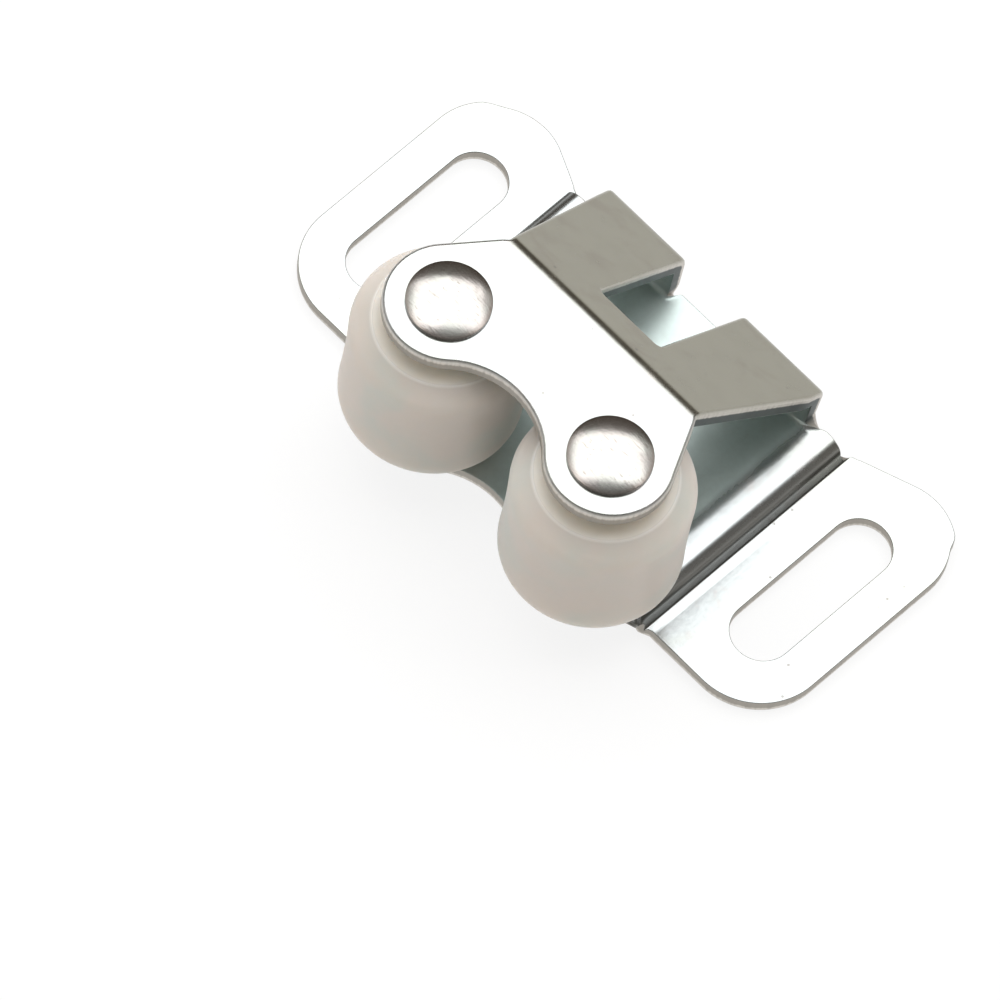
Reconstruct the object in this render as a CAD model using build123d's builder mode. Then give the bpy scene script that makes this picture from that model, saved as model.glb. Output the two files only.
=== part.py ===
"""Double roller catch: one folded sheet carries two nylon rollers on shouldered rivets.

X runs along the row of rollers, Y from the rollers back to the fold, and Z up from the
surface that the ears are screwed to. The origin lies on that surface, midway between the
two slots.
"""

import os
from math import acos, asin, atan2, cos, degrees, hypot, radians, sin, sqrt, tan

from build123d import *

# Sheet metal
sheet = 1.25
fold_inside = 0.5
crease_inside = 0.15
joggle_inside = 0.3

# Rollers
roller_spacing = 16.0
rollers_ahead = 11.4
roller_radius = 6.6
roller_body = 12.3
bevel_in = 1.45
bevel_down = 1.2
rim_round = 0.4
hub_radius = 3.7
hub_height = 1.2
low_hub_height = 0.6
bore_clearance = 0.08
seat_gap = 0.05
end_play = 0.3

# Rivets
pin_radius = 2.3
tenon_radius = 1.8
head_radius = 3.13
head_edge = 0.35
head_height = 1.3
tail_radius = 2.9
tail_height = 1.1
tail_chamfer = 0.3

# Lobed plates
lobe_radius = 4.65
scallop_radius = 6.5
crease_behind_rollers = 6.8
crease_beyond_rivet = 1.1

# Fold and window at the back
base_rise = 3.25
fold_rise = 5.3
fold_behind_rollers = 19.9
fold_beyond_rivet = 2.9
window_half_width = 2.85
window_behind_crease = 2.9
window_corner = 0.4
wall_root_round = 1.6
back_relief = 0.5

# Ears
overall_length = 49.3
ear_front = -10.78
ear_back_corner = 6.5
ear_corner_radius = 5.0
ear_back_slant = 22.4
joggle_beyond_lobe = 1.1
joggle_front_step = 0.45
joggle_front_run = 0.8
lobe_root_round = 1.2

# Slots
slot_from_end = 5.35
slot_width = 4.6
slot_length = 14.3

# Levels that follow
base_top = base_rise + sheet
roller_bottom = base_top + seat_gap
roller_length = roller_body + hub_height + low_hub_height
plate_under = roller_bottom + roller_length + end_play
plate_top = plate_under + sheet
fold_top = base_rise + fold_rise

# Places that follow
rivet_x = roller_spacing / 2
rivet_y = -rollers_ahead
crease_half_width = rivet_x + crease_beyond_rivet
fold_half_width = rivet_x + fold_beyond_rivet
joggle_x = rivet_x + lobe_radius + joggle_beyond_lobe
slot_spacing = overall_length - 2 * slot_from_end
crease_y = rivet_y + crease_behind_rollers
fold_y = rivet_y + fold_behind_rollers
base_back = fold_y - back_relief
foot_bend_y = fold_y - sheet - fold_inside
joggle_outside = joggle_inside + sheet
joggle_start_x = joggle_x - joggle_outside
ear_x = overall_length / 2
wide = 2 * overall_length

# The scallop between the rollers is an arc tangent to both lobes
scallop_y = rivet_y - sqrt((lobe_radius + scallop_radius) ** 2 - rivet_x**2)
lobe_start = 360 - degrees(acos(-rivet_x / (lobe_radius + scallop_radius)))
scallop_start = lobe_start - 180

# The plate's side runs from the end of the crease as a tangent to the lobe
crease_from_lobe = hypot(crease_half_width - rivet_x, crease_behind_rollers)
side_angle = degrees(
    atan2(crease_behind_rollers, crease_half_width - rivet_x) - acos(lobe_radius / crease_from_lobe)
)


def lobed_front(end_angle):
    """Right half of a lobed front edge, from the middle of the scallop round the lobe."""
    scallop = CenterArc((0, scallop_y), scallop_radius, 90, scallop_start - 90)
    lobe = CenterArc((rivet_x, rivet_y), lobe_radius, lobe_start, end_angle + 360 - lobe_start)
    return scallop, lobe


# Base plate, joggles and ears, as one section across the whole catch
with BuildPart() as base_and_ears:
    with BuildSketch(Plane.XZ) as wing_section:
        with BuildLine():
            upper_side = FilletPolyline(
                (-wide, sheet),
                (-joggle_x, sheet),
                (-joggle_x, base_top),
                (joggle_x, base_top),
                (joggle_x, sheet),
                (wide, sheet),
                radius=(joggle_inside, joggle_outside, joggle_outside, joggle_inside),
            )
            offset(upper_side, amount=sheet, side=Side.RIGHT)
        make_face()
    extrude(amount=wide / 2, both=True)

    # Outline seen from above: lobed front, ears with round corners and slanted backs
    with BuildSketch(Plane.XY) as wing_outline:
        with BuildLine():
            step_y = ear_front - joggle_front_step
            root_angle = degrees(asin((step_y - rivet_y) / lobe_radius))
            lobed_front(root_angle)
            root = Vector(rivet_x, rivet_y) + Vector(lobe_radius, 0).rotate(Axis.Z, root_angle)
            front = Polyline(
                root,
                (joggle_x + joggle_inside - joggle_front_run, step_y),
                (joggle_x + joggle_inside, ear_front),
                (ear_x - ear_corner_radius, ear_front),
            )
            front_corner = JernArc(front @ 1, (1, 0), ear_corner_radius, 90)
            side = Line(front_corner @ 1, (ear_x, ear_back_corner))
            back_corner = JernArc(side @ 1, (0, 1), ear_corner_radius, 90 + ear_back_slant)
            slant_run = (back_corner @ 1).X - joggle_x - joggle_inside
            slant_end = back_corner @ 1 - Vector(slant_run, slant_run * tan(radians(ear_back_slant)))
            Polyline(
                back_corner @ 1,
                slant_end,
                (joggle_start_x, slant_end.Y),
                (joggle_start_x, foot_bend_y),
                (0, foot_bend_y),
            )
            mirror(about=Plane.YZ)
        make_face()
        roots = wing_outline.vertices().filter_by_position(Axis.Y, step_y, step_y)
        fillet(roots.sort_by(lambda v: abs(v.X))[:2], radius=lobe_root_round)
    extrude(amount=base_top, mode=Mode.INTERSECT)

    # The slanted back edge runs on up the joggle to the base plate
    with BuildSketch(Plane.YZ):
        with BuildLine():
            Polyline(
                (slant_end.Y, sheet),
                (base_back, base_top),
                (slant_end.Y + sheet, base_top + sheet),
                (slant_end.Y + sheet, sheet),
                close=True,
            )
        make_face()
    extrude(amount=joggle_x + joggle_inside, both=True, mode=Mode.SUBTRACT)

    with BuildSketch(Plane.XY):
        with GridLocations(slot_spacing, 0, 2, 1):
            SlotOverall(slot_length, slot_width, rotation=90)
    extrude(amount=sheet, mode=Mode.SUBTRACT)

# Folded strip: base, back wall, sloping web and top plate, as one bent section
with BuildPart() as catch_frame:
    with BuildSketch(Plane.YZ) as strip_section:
        with BuildLine():
            outside = FilletPolyline(
                (crease_y, base_rise),
                (fold_y, base_rise),
                (fold_y, fold_top),
                (crease_y, plate_top),
                (rivet_y - 2 * lobe_radius, plate_top),
                radius=(fold_inside + sheet, fold_inside + sheet, crease_inside + sheet),
            )
            offset(outside, amount=sheet, side=Side.LEFT)
        make_face()
    extrude(amount=wide / 2, both=True)

    # Outline seen from above: top plate, straps, and the wall with its wider foot
    with BuildSketch(Plane.XY) as strip_outline:
        with BuildLine():
            lobed_front(side_angle)
            side_start = Vector(rivet_x, rivet_y) + Vector(lobe_radius, 0).rotate(Axis.Z, side_angle)
            Polyline(
                side_start,
                (crease_half_width, crease_y),
                (fold_half_width, foot_bend_y),
                (joggle_start_x, foot_bend_y),
                (joggle_start_x, base_back),
                (fold_half_width, fold_y),
                (fold_half_width, fold_y + sheet),
                (0, fold_y + sheet),
            )
            mirror(about=Plane.YZ)
        make_face()
    extrude(amount=plate_top + sheet, mode=Mode.INTERSECT)

    # The wall's sides run down to the base in rounded roots
    with BuildSketch(Plane.XZ.offset(-foot_bend_y)):
        with BuildLine():
            wall_side = FilletPolyline(
                (fold_half_width, plate_top),
                (fold_half_width, base_top),
                (wide, base_top),
                radius=wall_root_round,
            )
            Polyline(wall_side @ 1, (wide, plate_top), wall_side @ 0)
        make_face()
        mirror(about=Plane.YZ)
    extrude(amount=-2 * sheet - fold_inside, mode=Mode.SUBTRACT)

    add(base_and_ears)

    # Window between the straps, cut square through the web
    web_slope = atan2(plate_top - fold_top, fold_y - crease_y)
    web_length = hypot(fold_y - crease_y, plate_top - fold_top)
    web_plane = Plane(
        origin=(0, crease_y, plate_top), x_dir=(1, 0, 0), z_dir=(0, sin(web_slope), cos(web_slope))
    )
    window_from_crease = window_behind_crease / cos(web_slope)
    with BuildSketch(web_plane) as window:
        with Locations((0, window_from_crease)):
            Rectangle(2 * window_half_width, web_length, align=(Align.CENTER, Align.MIN))
        fillet(window.vertices().group_by(Axis.Y)[0], radius=window_corner)
    extrude(amount=2 * sheet, both=True, mode=Mode.SUBTRACT)

    # The window runs on down through the wall to the base plate's back edge
    with BuildSketch(Plane.YZ):
        with BuildLine():
            Polyline(
                (foot_bend_y, fold_top),
                (foot_bend_y, base_top),
                (base_back, base_top),
                (base_back, 0),
                (fold_y + sheet, 0),
                (fold_y + sheet, fold_top),
                close=True,
            )
        make_face()
    extrude(amount=window_half_width, both=True, mode=Mode.SUBTRACT)

    with Locations((-rivet_x, rivet_y), (rivet_x, rivet_y)):
        Hole(tenon_radius)

catch_frame.part.label = "catch_frame"

# Roller: a bored nylon drum with bevelled rims and a hub at each end
with BuildPart() as roller:
    with BuildSketch(Plane.XZ) as roller_section:
        with BuildLine():
            bore = pin_radius + bore_clearance
            low_face = roller_bottom + low_hub_height
            high_face = low_face + roller_body
            Polyline(
                (roller_radius, low_face + bevel_down),
                (roller_radius - bevel_in, low_face),
                (hub_radius, low_face),
                (hub_radius, roller_bottom),
                (bore, roller_bottom),
                (bore, roller_bottom + roller_length),
                (hub_radius, roller_bottom + roller_length),
                (hub_radius, high_face),
                (roller_radius - bevel_in, high_face),
                (roller_radius, high_face - bevel_down),
                close=True,
            )
        make_face()
        rims = roller_section.vertices().sort_by(Axis.X)[-2:]
        fillet(rims, radius=rim_round)
    revolve(axis=Axis.Z)

# Rivet: domed head, tenons through both plates, and a shoulder that keeps them apart
with BuildPart() as rivet:
    with BuildSketch(Plane.XZ) as rivet_section:
        with BuildLine():
            dome_rise = head_height - head_edge
            dome_radius = (head_radius**2 + dome_rise**2) / (2 * dome_rise)
            head_side = Polyline(
                (0, base_rise - tail_height),
                (tail_radius, base_rise - tail_height),
                (tail_radius, base_rise),
                (tenon_radius, base_rise),
                (tenon_radius, base_top),
                (pin_radius, base_top),
                (pin_radius, plate_under),
                (tenon_radius, plate_under),
                (tenon_radius, plate_top),
                (head_radius, plate_top),
                (head_radius, plate_top + head_edge),
            )
            dome = RadiusArc(head_side @ 1, (0, plate_top + head_height), -dome_radius)
            Line(dome @ 1, head_side @ 0)
        make_face()
        tail_corner = rivet_section.vertices().group_by(Axis.Y)[0].sort_by(Axis.X)[-1]
        chamfer(tail_corner, length=tail_chamfer)
    revolve(axis=Axis.Z)

# Each roller turns on its own rivet
os.makedirs("parts", exist_ok=True)
export_step(catch_frame.part, "parts/catch_frame.step")
for side_name, x in (("left", -rivet_x), ("right", rivet_x)):
    for piece, name in ((roller, "roller"), (rivet, "rivet")):
        placed = Location((x, rivet_y, 0)) * piece.part
        placed.label = f"{name}_{side_name}"
        export_step(placed, f"parts/{placed.label}.step")
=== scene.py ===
import math

import bmesh
import bpy
import numpy as np
from mathutils import Matrix, Vector
from mathutils.geometry import delaunay_2d_cdt


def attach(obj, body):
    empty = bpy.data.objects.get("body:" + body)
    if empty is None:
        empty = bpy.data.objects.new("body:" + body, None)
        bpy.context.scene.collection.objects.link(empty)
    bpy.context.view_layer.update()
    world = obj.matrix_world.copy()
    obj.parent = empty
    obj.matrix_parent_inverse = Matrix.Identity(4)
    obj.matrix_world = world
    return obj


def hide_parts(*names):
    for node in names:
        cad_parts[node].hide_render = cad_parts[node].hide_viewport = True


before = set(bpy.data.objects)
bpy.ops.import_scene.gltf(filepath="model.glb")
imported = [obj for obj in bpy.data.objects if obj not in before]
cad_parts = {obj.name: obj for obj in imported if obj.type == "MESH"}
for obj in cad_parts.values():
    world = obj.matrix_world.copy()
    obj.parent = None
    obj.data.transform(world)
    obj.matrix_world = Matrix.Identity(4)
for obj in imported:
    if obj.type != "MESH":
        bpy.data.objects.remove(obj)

print("Frame loaded:", ", ".join(sorted(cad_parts)))
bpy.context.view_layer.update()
scene = bpy.context.scene
millimetre = 0.001


# Node helpers: a wire carries one socket, and arithmetic on it adds Math nodes
class Wire:
    def __init__(self, desk, socket):
        self.desk = desk
        self.socket = socket

    def maths(self, operation, *others):
        return self.desk.node("ShaderNodeMath", {"operation": operation}, [self, *others])

    def __add__(self, other):
        return self.maths("ADD", other)

    def __sub__(self, other):
        return self.maths("SUBTRACT", other)

    def __mul__(self, other):
        return self.maths("MULTIPLY", other)

    def __truediv__(self, other):
        return self.maths("DIVIDE", other)

    def __radd__(self, other):
        return self.maths("ADD", other)

    def __rmul__(self, other):
        return self.maths("MULTIPLY", other)

    def __rsub__(self, other):
        return self.desk.node("ShaderNodeMath", {"operation": "SUBTRACT"}, [other, self])

    def __rtruediv__(self, other):
        return self.desk.node("ShaderNodeMath", {"operation": "DIVIDE"}, [other, self])

    def __neg__(self):
        return self.maths("MULTIPLY", -1.0)


class Desk:
    def __init__(self, tree):
        self.tree = tree

    def feed(self, socket, value):
        if isinstance(value, Wire):
            self.tree.links.new(value.socket, socket)
        else:
            socket.default_value = value

    def node(self, kind, settings=None, inputs=None, output=0):
        made = self.tree.nodes.new(kind)
        for key, value in (settings or {}).items():
            if key == "stops":
                self.setStops(made.color_ramp, value)
            elif key == "cases":
                while len(made.index_switch_items) < value:
                    made.index_switch_items.new()
            else:
                setattr(made, key, value)
        pairs = inputs.items() if isinstance(inputs, dict) else enumerate(inputs or [])
        for key, value in pairs:
            self.feed(made.inputs[key], value)
        return Wire(self, made.outputs[output]) if made.outputs else None

    def setStops(self, ramp, stops):
        while len(ramp.elements) < len(stops):
            ramp.elements.new(0.5)
        for element, (place, colour) in zip(ramp.elements, stops):
            element.position = place
            element.color = (*colour, 1.0) if len(colour) == 3 else colour

    def between(self, value, low, high):
        # 0 below low, 1 above high, smooth in between
        return self.node(
            "ShaderNodeMapRange",
            {"interpolation_type": "SMOOTHSTEP"},
            {"Value": value, "From Min": low, "From Max": high},
        )

    def blend(self, share, first, second):
        # colours through Mix: inputs 6 and 7 are its colour sockets
        inputs = {0: share, 6: first, 7: second}
        return self.node("ShaderNodeMix", {"data_type": "RGBA"}, inputs, output=2)

    def vector(self, operation, *values):
        return self.node("ShaderNodeVectorMath", {"operation": operation}, values)

    def split(self, vector):
        # the three parts of a vector, each as a wire
        first = self.node("ShaderNodeSeparateXYZ", inputs=[vector])
        return [Wire(self, socket) for socket in first.socket.node.outputs]

    def noise(self, place, scale, detail=2.0, roughness=0.5, distortion=0.0):
        inputs = {
            "Vector": place,
            "Scale": scale,
            "Detail": detail,
            "Roughness": roughness,
            "Distortion": distortion,
        }
        return self.node("ShaderNodeTexNoise", {"noise_dimensions": "3D"}, inputs)


def newMaterial(name):
    material = bpy.data.materials.new(name)
    material.use_nodes = True
    tree = material.node_tree
    for node in list(tree.nodes):
        tree.nodes.remove(node)
    return material, Desk(tree)


def objectPlace(desk):
    # Object coordinates in millimetres
    place = desk.node("ShaderNodeTexCoord", output="Object")
    return desk.vector("MULTIPLY", place, (1000.0, 1000.0, 1000.0))


def colour(red, green, blue):
    return (red, green, blue, 1.0)


# the right rivet's place in millimetres; the left one mirrors it
axlePlace = (8.0, -11.4)


def fromAxle(desk, place):
    # distance from the nearer rivet's axis, seen from above
    across, along, _ = desk.split(place)
    across = across.maths("ABSOLUTE") - axlePlace[0]
    along = along - axlePlace[1]
    return (across * across + along * along).maths("SQRT")


# Zinc plating over the bent sheet
zincFinish = {
    "plate": colour(0.385, 0.392, 0.384),
    # painted shade: the wall and straps darker and browner, partly a yellower plating
    "web": colour(0.292, 0.280, 0.224),
    "stain": colour(0.25, 0.225, 0.18),
    # painted light: paler and bluish inside the shaded fold
    "paintedFoldLight": colour(0.465, 0.54, 0.525),
    # near-black torn edge: fracture zone with a painted dark reflection
    "fractureAndDarkReflection": colour(0.07, 0.085, 0.082),
    "blueTint": colour(0.36, 0.41, 0.435),
    "greenTint": colour(0.38, 0.415, 0.37),
    "pinkTint": colour(0.41, 0.38, 0.375),
    "sheared": colour(0.37, 0.345, 0.305),
    "burnished": colour(0.67, 0.635, 0.585),
    # partly duller bent metal, partly painted shade on the joggle's riser
    "worked": colour(0.17, 0.165, 0.15),
    "speck": colour(0.16, 0.145, 0.13),
    "grain": colour(0.30, 0.30, 0.29),
    "rolling": colour(0.30, 0.29, 0.28),
    "streak": colour(0.30, 0.28, 0.25),
    "foldHalf": (10.4, 11.2),
    "roughness": 0.19,
    "edgeRoughness": 0.42,
}


def makeZinc():
    material, desk = newMaterial("zincPlating")
    place = objectPlace(desk)
    blank = desk.node("ShaderNodeAttribute", {"attribute_name": "blankPlace"}, output="Vector")
    edge = desk.node("ShaderNodeAttribute", {"attribute_name": "shearedEdge"}, output="Fac")
    depth = desk.node("ShaderNodeAttribute", {"attribute_name": "throughSheet"}, output="Fac")
    worked = desk.node("ShaderNodeAttribute", {"attribute_name": "worked"}, output="Fac")
    web = desk.node("ShaderNodeAttribute", {"attribute_name": "webShare"}, output="Fac")

    # faint tints drift over the plating
    drift = desk.noise(place, 0.11, 3.0, 0.55, 0.4)
    cloud = desk.noise(place, 0.42, 4.0, 0.6, 0.2)
    tint = desk.blend(desk.between(drift, 0.42, 0.62), zincFinish["greenTint"], zincFinish["blueTint"])
    tint = desk.blend(desk.between(cloud, 0.52, 0.70), tint, zincFinish["pinkTint"])
    flat = desk.blend(0.35, zincFinish["plate"], tint)
    # the outer face of the wall and straps is painted darker and browner: painted shade for the darker
    # reflection it sees, partly a yellower plating, with blotchy stains
    stains = desk.noise(place, 0.28, 4.0, 0.62, 0.5)
    webShadeAndStains = desk.blend(desk.between(stains, 0.50, 0.72) * 0.6, zincFinish["web"], zincFinish["stain"])
    surface = desk.blend(web * (1 - depth), flat, webShadeAndStains)

    # inside the fold a paler bluish colour is painted: painted light and a painted bluish reflection
    # that lift the shaded fold
    across, _, _ = desk.split(place)
    beside = desk.between(across.maths("ABSOLUTE"), *zincFinish["foldHalf"])
    inFold = depth * (1 - edge) * (1 - beside)
    surface = desk.blend(inFold, surface, zincFinish["paintedFoldLight"])

    # fine crystal grain, and lines that follow the rolling of the sheet
    grain = desk.noise(place, 2.4, 3.0, 0.55)
    rolled = desk.noise(desk.vector("MULTIPLY", blank, (3.0, 0.12, 1.0)), 1.0, 3.0, 0.55)
    toned = desk.blend(desk.between(grain, 0.3, 0.8) * 0.12, surface, zincFinish["grain"])
    toned = desk.blend(desk.between(rolled, 0.55, 0.75) * 0.10, toned, zincFinish["rolling"])

    # the joggle's riser and bends are painted darker, partly duller bent metal and partly painted shade
    # for the dark reflection on the riser; small specks sit here and there
    toned = desk.blend(worked * 0.85, toned, zincFinish["worked"])
    cells = desk.node(
        "ShaderNodeTexVoronoi",
        {"feature": "F1"},
        {"Vector": place, "Scale": 0.62, "Randomness": 1.0},
        output="Distance",
    )
    speck = (1 - desk.between(cells, 0.05, 0.10)) * desk.between(cloud, 0.47, 0.56) * (1 - inFold)
    toned = desk.blend(speck * 0.7, toned, zincFinish["speck"])

    # sheared edges: a burnished band, then the broken part of the cut; on the wall and straps the torn
    # part is painted near-black, a real fracture zone darkened with a painted dark reflection of the
    # shaded fold
    streaks = desk.noise(desk.vector("MULTIPLY", blank, (4.0, 4.0, 0.5)), 1.0, 3.0, 0.6)
    broken = desk.between(depth + streaks * 0.25, 0.45, 0.62)
    cut = desk.blend(broken, zincFinish["burnished"], zincFinish["sheared"])
    cut = desk.blend(desk.between(streaks, 0.4, 0.7) * 0.3, cut, zincFinish["streak"])
    # painted shade: the torn part of the wall's and straps' cut edges nearly black
    tornAndShaded = desk.between(depth + streaks * 0.15, 0.40, 0.52) * web
    cut = desk.blend(tornAndShaded, cut, zincFinish["fractureAndDarkReflection"])
    toned = desk.blend(edge, toned, cut)

    smoothest = zincFinish["roughness"]
    rough = smoothest + grain * 0.06 + desk.between(cloud, 0.4, 0.7) * 0.05
    rough = rough + worked * 0.06 + inFold * 0.11 + edge * (zincFinish["edgeRoughness"] - smoothest)
    dents = desk.noise(place, 0.55, 2.0, 0.5)
    height = grain * 0.35 + rolled * 0.15 + dents * 0.8
    height = height * (1 - inFold * 0.9) * (1 - web * 0.93) * (1 - worked * 0.6) + edge * streaks * 0.35
    bump = desk.node(
        "ShaderNodeBump", inputs={"Strength": 0.6, "Distance": 0.00002, "Height": height}
    )
    metal = 1 - inFold * 0.28
    shader = desk.node(
        "ShaderNodeBsdfPrincipled",
        inputs={"Base Color": toned, "Metallic": metal, "Roughness": rough, "Normal": bump},
    )
    desk.node("ShaderNodeOutputMaterial", inputs={"Surface": shader})
    return material


# Rivet steel: scuffed heads, with painted shade darkening the rim
rivetFinish = {
    "pale": colour(0.385, 0.375, 0.355),
    "pink": colour(0.37, 0.34, 0.325),
    "green": colour(0.365, 0.375, 0.345),
    "grain": colour(0.28, 0.27, 0.25),
    "mark": colour(0.20, 0.18, 0.16),
    # painted shade at the rim of the head
    "rim": colour(0.17, 0.125, 0.105),
    "rimFrom": 2.6,
    "rimTo": 3.1,
    "roughness": 0.18,
}


def makeRivetSteel():
    material, desk = newMaterial("rivetSteel")
    place = objectPlace(desk)
    cloud = desk.noise(place, 0.33, 3.0, 0.6, 0.3)
    grain = desk.noise(place, 4.5, 4.0, 0.6)
    scuffs = desk.noise(desk.vector("MULTIPLY", place, (1.1, 4.5, 1.0)), 1.2, 3.0, 0.6, 0.4)
    tone = desk.blend(desk.between(cloud, 0.4, 0.6), rivetFinish["green"], rivetFinish["pink"])
    tone = desk.blend(0.5, rivetFinish["pale"], tone)
    tone = desk.blend(desk.between(grain, 0.5, 0.8) * 0.25, tone, rivetFinish["grain"])
    tone = desk.blend(desk.between(scuffs, 0.57, 0.70) * 0.55, tone, rivetFinish["mark"])

    # a darker, browner ring is painted round the rim of the head: painted shade for the dark ring at its
    # edge
    paintedRimShade = desk.between(fromAxle(desk, place), rivetFinish["rimFrom"], rivetFinish["rimTo"])
    tone = desk.blend(paintedRimShade * 0.55, tone, rivetFinish["rim"])
    rough = rivetFinish["roughness"] + grain * 0.03 + desk.between(scuffs, 0.6, 0.75) * 0.06
    height = grain * 0.4 + scuffs * 0.8
    bump = desk.node(
        "ShaderNodeBump", inputs={"Strength": 0.28, "Distance": 0.00002, "Height": height}
    )
    shader = desk.node(
        "ShaderNodeBsdfPrincipled",
        inputs={"Base Color": tone, "Metallic": 1.0, "Roughness": rough, "Normal": bump},
    )
    desk.node("ShaderNodeOutputMaterial", inputs={"Surface": shader})
    return material


# Milky nylon of the rollers
nylonFinish = {
    "milk": colour(0.58, 0.548, 0.50),
    "warm": colour(0.59, 0.54, 0.495),
    "cool": colour(0.535, 0.54, 0.50),
    # painted light: paler end faces under the plate's shadow
    "paintedEndFaceLight": colour(0.70, 0.665, 0.605),
    # painted highlight along the end faces' rims
    "paintedRimHighlight": colour(0.78, 0.755, 0.71),
    "dust": colour(0.30, 0.28, 0.25),
    "roughness": 0.46,
    "faceRadius": 5.05,
    "scatter": (0.0056, 0.0050, 0.0044),
}


def makeNylon():
    material, desk = newMaterial("milkyNylon")
    place = objectPlace(desk)
    cloud = desk.noise(place, 0.16, 3.0, 0.5, 0.3)
    haze = desk.noise(place, 0.9, 4.0, 0.55)
    fine = desk.noise(place, 7.0, 3.0, 0.6)
    tone = desk.blend(desk.between(cloud, 0.4, 0.62), nylonFinish["warm"], nylonFinish["cool"])
    tone = desk.blend(desk.between(haze, 0.35, 0.7) * 0.4, tone, nylonFinish["milk"])
    cells = desk.node(
        "ShaderNodeTexVoronoi",
        {"feature": "F1"},
        {"Vector": place, "Scale": 0.14, "Randomness": 1.0},
        output="Distance",
    )
    dust = (1 - desk.between(cells, 0.012, 0.024)) * 0.6
    tone = desk.blend(dust, tone, nylonFinish["dust"])

    # the turned end faces are painted paler, painted light that lifts the plate's shadow on them, with a
    # painted highlight along their rims
    reach = fromAxle(desk, place)
    face = nylonFinish["faceRadius"]
    tone = desk.blend(1 - desk.between(reach, face - 0.05, face + 0.05), tone, nylonFinish["paintedEndFaceLight"])
    # painted highlight: a pale line along the rim of each end face
    rim = desk.between(reach, face, face + 0.06) * (1 - desk.between(reach, face + 0.12, face + 0.28))
    tone = desk.blend(rim * 0.55, tone, nylonFinish["paintedRimHighlight"])
    rough = nylonFinish["roughness"] + haze * 0.08 + fine * 0.05
    bump = desk.node(
        "ShaderNodeBump",
        inputs={"Strength": 0.25, "Distance": 0.00003, "Height": haze * 0.8 + fine * 0.25},
    )
    shader = desk.node(
        "ShaderNodeBsdfPrincipled",
        {"subsurface_method": "RANDOM_WALK"},
        {
            "Base Color": tone,
            "Roughness": rough,
            "Normal": bump,
            "IOR": 1.53,
            "Subsurface Weight": 1.0,
            "Subsurface Radius": nylonFinish["scatter"],
            "Subsurface Scale": 1.0,
        },
    )
    desk.node("ShaderNodeOutputMaterial", inputs={"Surface": shader})
    return material


zinc = makeZinc()
rivetSteel = makeRivetSteel()
nylon = makeNylon()
print("Materials made")


# The bent sheet, drawn as its flat blank and then followed round its bends.
# A blank point is (across, along): along runs back over the base plate, up the wall,
# forward over the web and out along the top plate.
sheetMetal = {
    "thickness": 1.25,
    "edgeRound": 0.30,
    "burrRound": 0.08,
    "underside": 3.25,
    "foldOuter": 1.75,
    "creaseOuter": 1.8,
    "wallFace": 8.5,
    "foldRise": 5.3,
    "creasePlace": (-4.6, 20.2),
    "leanFrom": 11.05,
    "leanRadius": 4.7,
    "leanTurn": 5.5,
    "joggleTight": 0.12,
    "joggleWide": 1.37,
    "riserPlace": 13.75,
    "toeTurn": 8.0,
    "toeRun": 0.4,
    "toeRadius": 3.5,
    "earFrom": 14.05,
    "rootFade": 12.2,
    "rivetPlace": axlePlace,
    "rivetHole": 1.8,
    "lobeRadius": 4.65,
    "scallopRadius": 6.5,
    "lobeRoot": 1.2,
    "creaseHalf": 9.25,
    "foldHalf": 10.72,
    "webShift": 0.5,
    "webNarrowsFrom": 6.75,
    "frontStep": (-11.10, -10.66),
    "earEnd": 24.65,
    "earCorner": 5.0,
    "earFrontCorner": 5.4,
    "earBack": 6.5,
    "earSlant": 22.4,
    "riserBack": 8.0,
    "wallRoot": 1.6,
    "slotPlace": 19.3,
    "slotSize": (4.6, 14.3),
    "windowHalf": 2.9,
    "windowFrom": 8.05,
    "windowBehindCrease": 2.9,
    "windowCorner": 0.4,
    "windowFrontCorner": 0.25,
    "tongueHalf": 2.2,
    "stepRun": 0.84,
    "waistCorner": 0.35,
    "bendStep": 6.0,
}


def planPath(start, runs):
    # joins straight runs and bends: each run is (length, radius, turn in degrees)
    path = []
    place = Vector(start)
    heading = 0.0
    travelled = 0.0
    for length, radius, turn in runs:
        if turn:
            length = radius * math.radians(abs(turn))
        path.append((travelled, length, place.copy(), heading, radius, math.radians(turn)))
        if turn:
            side = math.copysign(1.0, turn)
            turned = heading + math.radians(turn)
            centre = place + radius * side * Vector((-math.sin(heading), math.cos(heading)))
            place = centre - radius * side * Vector((-math.sin(turned), math.cos(turned)))
            heading = turned
        else:
            place = place + length * Vector((math.cos(heading), math.sin(heading)))
        travelled += length
    return path


def followPath(path, distance):
    # place and left-hand side after a distance along the path
    for begin, length, place, heading, radius, turn in path:
        if distance <= begin + length or (begin, length) == path[-1][:2]:
            break
    if turn:
        side = math.copysign(1.0, turn)
        angle = heading + side * (distance - begin) / radius
        centre = place + radius * side * Vector((-math.sin(heading), math.cos(heading)))
        left = Vector((-math.sin(angle), math.cos(angle)))
        return centre - radius * side * left, left
    ahead = Vector((math.cos(heading), math.sin(heading)))
    return place + (distance - begin) * ahead, Vector((-ahead.y, ahead.x))


def smooth(value, low, high):
    share = min(1.0, max(0.0, (value - low) / (high - low)))
    return share * share * (3.0 - 2.0 * share)


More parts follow.
